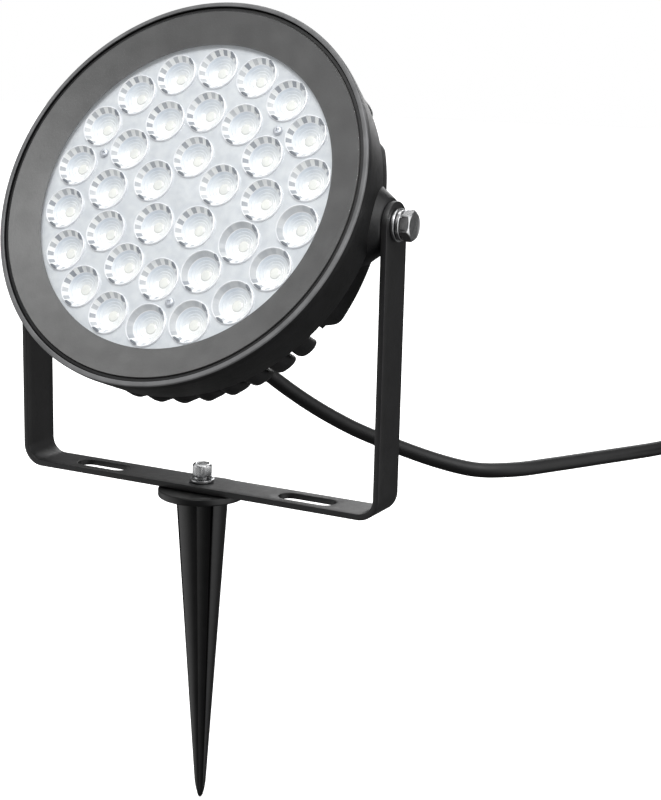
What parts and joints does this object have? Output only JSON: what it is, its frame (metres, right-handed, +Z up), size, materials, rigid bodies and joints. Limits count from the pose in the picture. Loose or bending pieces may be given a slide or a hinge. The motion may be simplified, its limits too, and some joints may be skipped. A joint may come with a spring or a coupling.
{
  "type": "spike-mounted garden floodlight",
  "caption": "Round die-cast LED floodlight on a U-shaped yoke with a ground spike; tilts on two pivot bolts, pans on the spike's screw, with a free supply cord.",
  "frame": {"origin": "on the spike's axis at the underside of its flange, which is soil level", "axes": "+Z up along the spike's axis, +X along the pivot axis of the yoke, the lamp faces -Y and is tilted up"},
  "size_m": [0.4608, 0.3541, 0.417],
  "materials": {
    "powder_coat": "satin black powder coat on die-cast aluminium",
    "yoke_coat": "satin black powder coat on steel strap",
    "black_nylon": "satin moulded black nylon",
    "black_rubber": "matt black rubber",
    "stainless": "bright stainless steel",
    "clear_glass": "clear toughened glass",
    "grey_print": "dark grey printed border on the glass",
    "clear_acrylic": "clear moulded acrylic lenses",
    "white_board": "white solder mask on an aluminium-core board",
    "driver_case": "potted driver in a pale plastic case",
    "cord_jacket": "satin black rubber cable jacket",
    "brass": "knurled brass insert",
    "core_brown": "brown core sleeve",
    "core_blue": "blue core sleeve",
    "core_green_yellow": "green and yellow striped core sleeve",
    "lead_red": "red lead sleeve",
    "lead_black": "black lead sleeve"
  },
  "bodies": {
    "spike": {"ground_stake": "black_nylon", "stake_insert": "brass", "stake_flat_washer": "stainless", "stake_spring_washer": "stainless", "stake_screw": "stainless"},
    "yoke": {"yoke_bracket": "yoke_coat", "cord_drop": "cord_jacket", "cord_run": "cord_jacket", "cord_coil": "cord_jacket", "cord_tail": "cord_jacket", "cord_tie": "black_nylon", "cord_core_brown": "core_brown", "cord_core_green_yellow": "core_green_yellow", "cord_core_blue": "core_blue"},
    "head": {"gland_body": "black_nylon", "gland_nut": "black_nylon", "pivot_flat_washer_left": "stainless", "pivot_spring_washer_left": "stainless", "pivot_bolt_left": "stainless", "pivot_flat_washer_right": "stainless", "pivot_spring_washer_right": "stainless", "pivot_bolt_right": "stainless", "heatsink_housing": "powder_coat", "rear_cover": "powder_coat", "front_glass": "clear_glass", "glass_mask": "grey_print", "glass_seal": "black_rubber", "rear_gasket": "black_rubber", "strain_relief": "black_rubber", "lens_array": "clear_acrylic", "led_board": "white_board", "lens_screw_1": "stainless", "lens_screw_2": "stainless", "lens_screw_3": "stainless", "board_screw_1": "stainless", "board_screw_2": "stainless", "board_screw_3": "stainless", "board_screw_4": "stainless", "cover_screw_1": "stainless", "cover_screw_2": "stainless", "cover_screw_3": "stainless", "cover_screw_4": "stainless", "led_driver": "driver_case", "output_lead_red": "lead_red", "output_lead_black": "lead_black"}
  },
  "joints": [
    {"name": "yoke_pan", "type": "hinge", "parent": "spike", "child": "yoke", "pos_m": [0, 0, 0.0043], "axis": [0, 0, 1], "range_deg": [-180, 180]},
    {"name": "head_tilt", "type": "hinge", "parent": "yoke", "child": "head", "pos_m": [0, 0, 0.1469], "axis": [-1, 0, 0], "range_deg": [-60, 62], "deforming": ["cord_drop"]}
  ]
}
